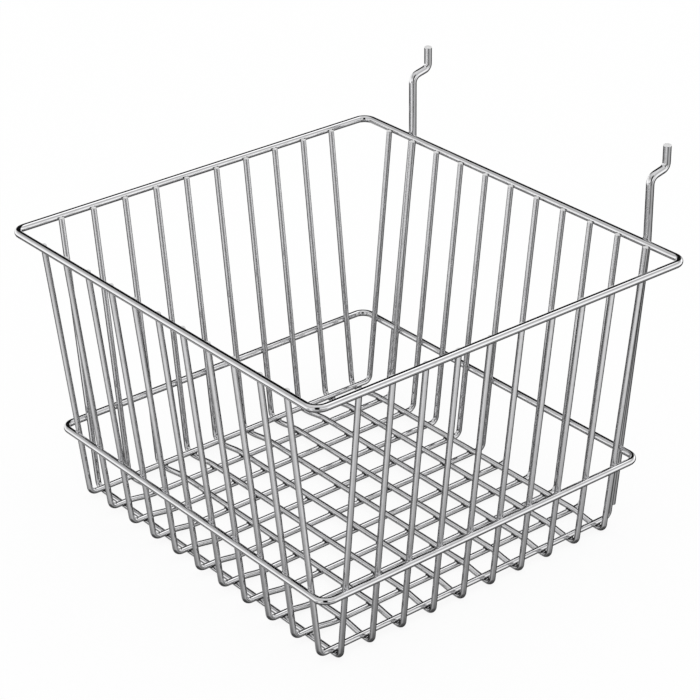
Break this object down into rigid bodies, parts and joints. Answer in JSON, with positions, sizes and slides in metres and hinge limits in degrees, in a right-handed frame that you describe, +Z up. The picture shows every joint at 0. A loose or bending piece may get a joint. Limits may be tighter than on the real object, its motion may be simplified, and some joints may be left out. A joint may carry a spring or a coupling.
{
  "type": "slatwall basket",
  "caption": "Open wire display basket with tapered walls, a rim, a ring round the lower walls and two hook hangers at the back for slatwall grooves.",
  "frame": {"origin": "under the middle of the floor, on the plane that the lowest floor wires rest on", "axes": "+Z up, -Y to the front wall, +Y to the back wall with the hangers, +X to the right side seen from the front"},
  "size_m": [0.32, 0.3232, 0.2622],
  "materials": {
    "mesh_wire": "polished",
    "frame_wire": "polished",
    "hanger_wire": "polished"
  },
  "bodies": {
    "root": {"top_rim": "frame_wire", "middle_ring": "frame_wire", "front_to_back_wire_01": "mesh_wire", "front_to_back_wire_02": "mesh_wire", "front_to_back_wire_03": "mesh_wire", "front_to_back_wire_04": "mesh_wire", "front_to_back_wire_05": "mesh_wire", "front_to_back_wire_06": "mesh_wire", "front_to_back_wire_07": "mesh_wire", "front_to_back_wire_08": "mesh_wire", "front_to_back_wire_09": "mesh_wire", "front_to_back_wire_10": "mesh_wire", "front_to_back_wire_11": "mesh_wire", "side_to_side_wire_01": "mesh_wire", "side_to_side_wire_02": "mesh_wire", "side_to_side_wire_03": "mesh_wire", "side_to_side_wire_04": "mesh_wire", "side_to_side_wire_05": "mesh_wire", "side_to_side_wire_06": "mesh_wire", "side_to_side_wire_07": "mesh_wire", "side_to_side_wire_08": "mesh_wire", "side_to_side_wire_09": "mesh_wire", "side_to_side_wire_10": "mesh_wire", "left_hanger": "hanger_wire", "right_hanger": "hanger_wire"}
  },
  "joints": []
}
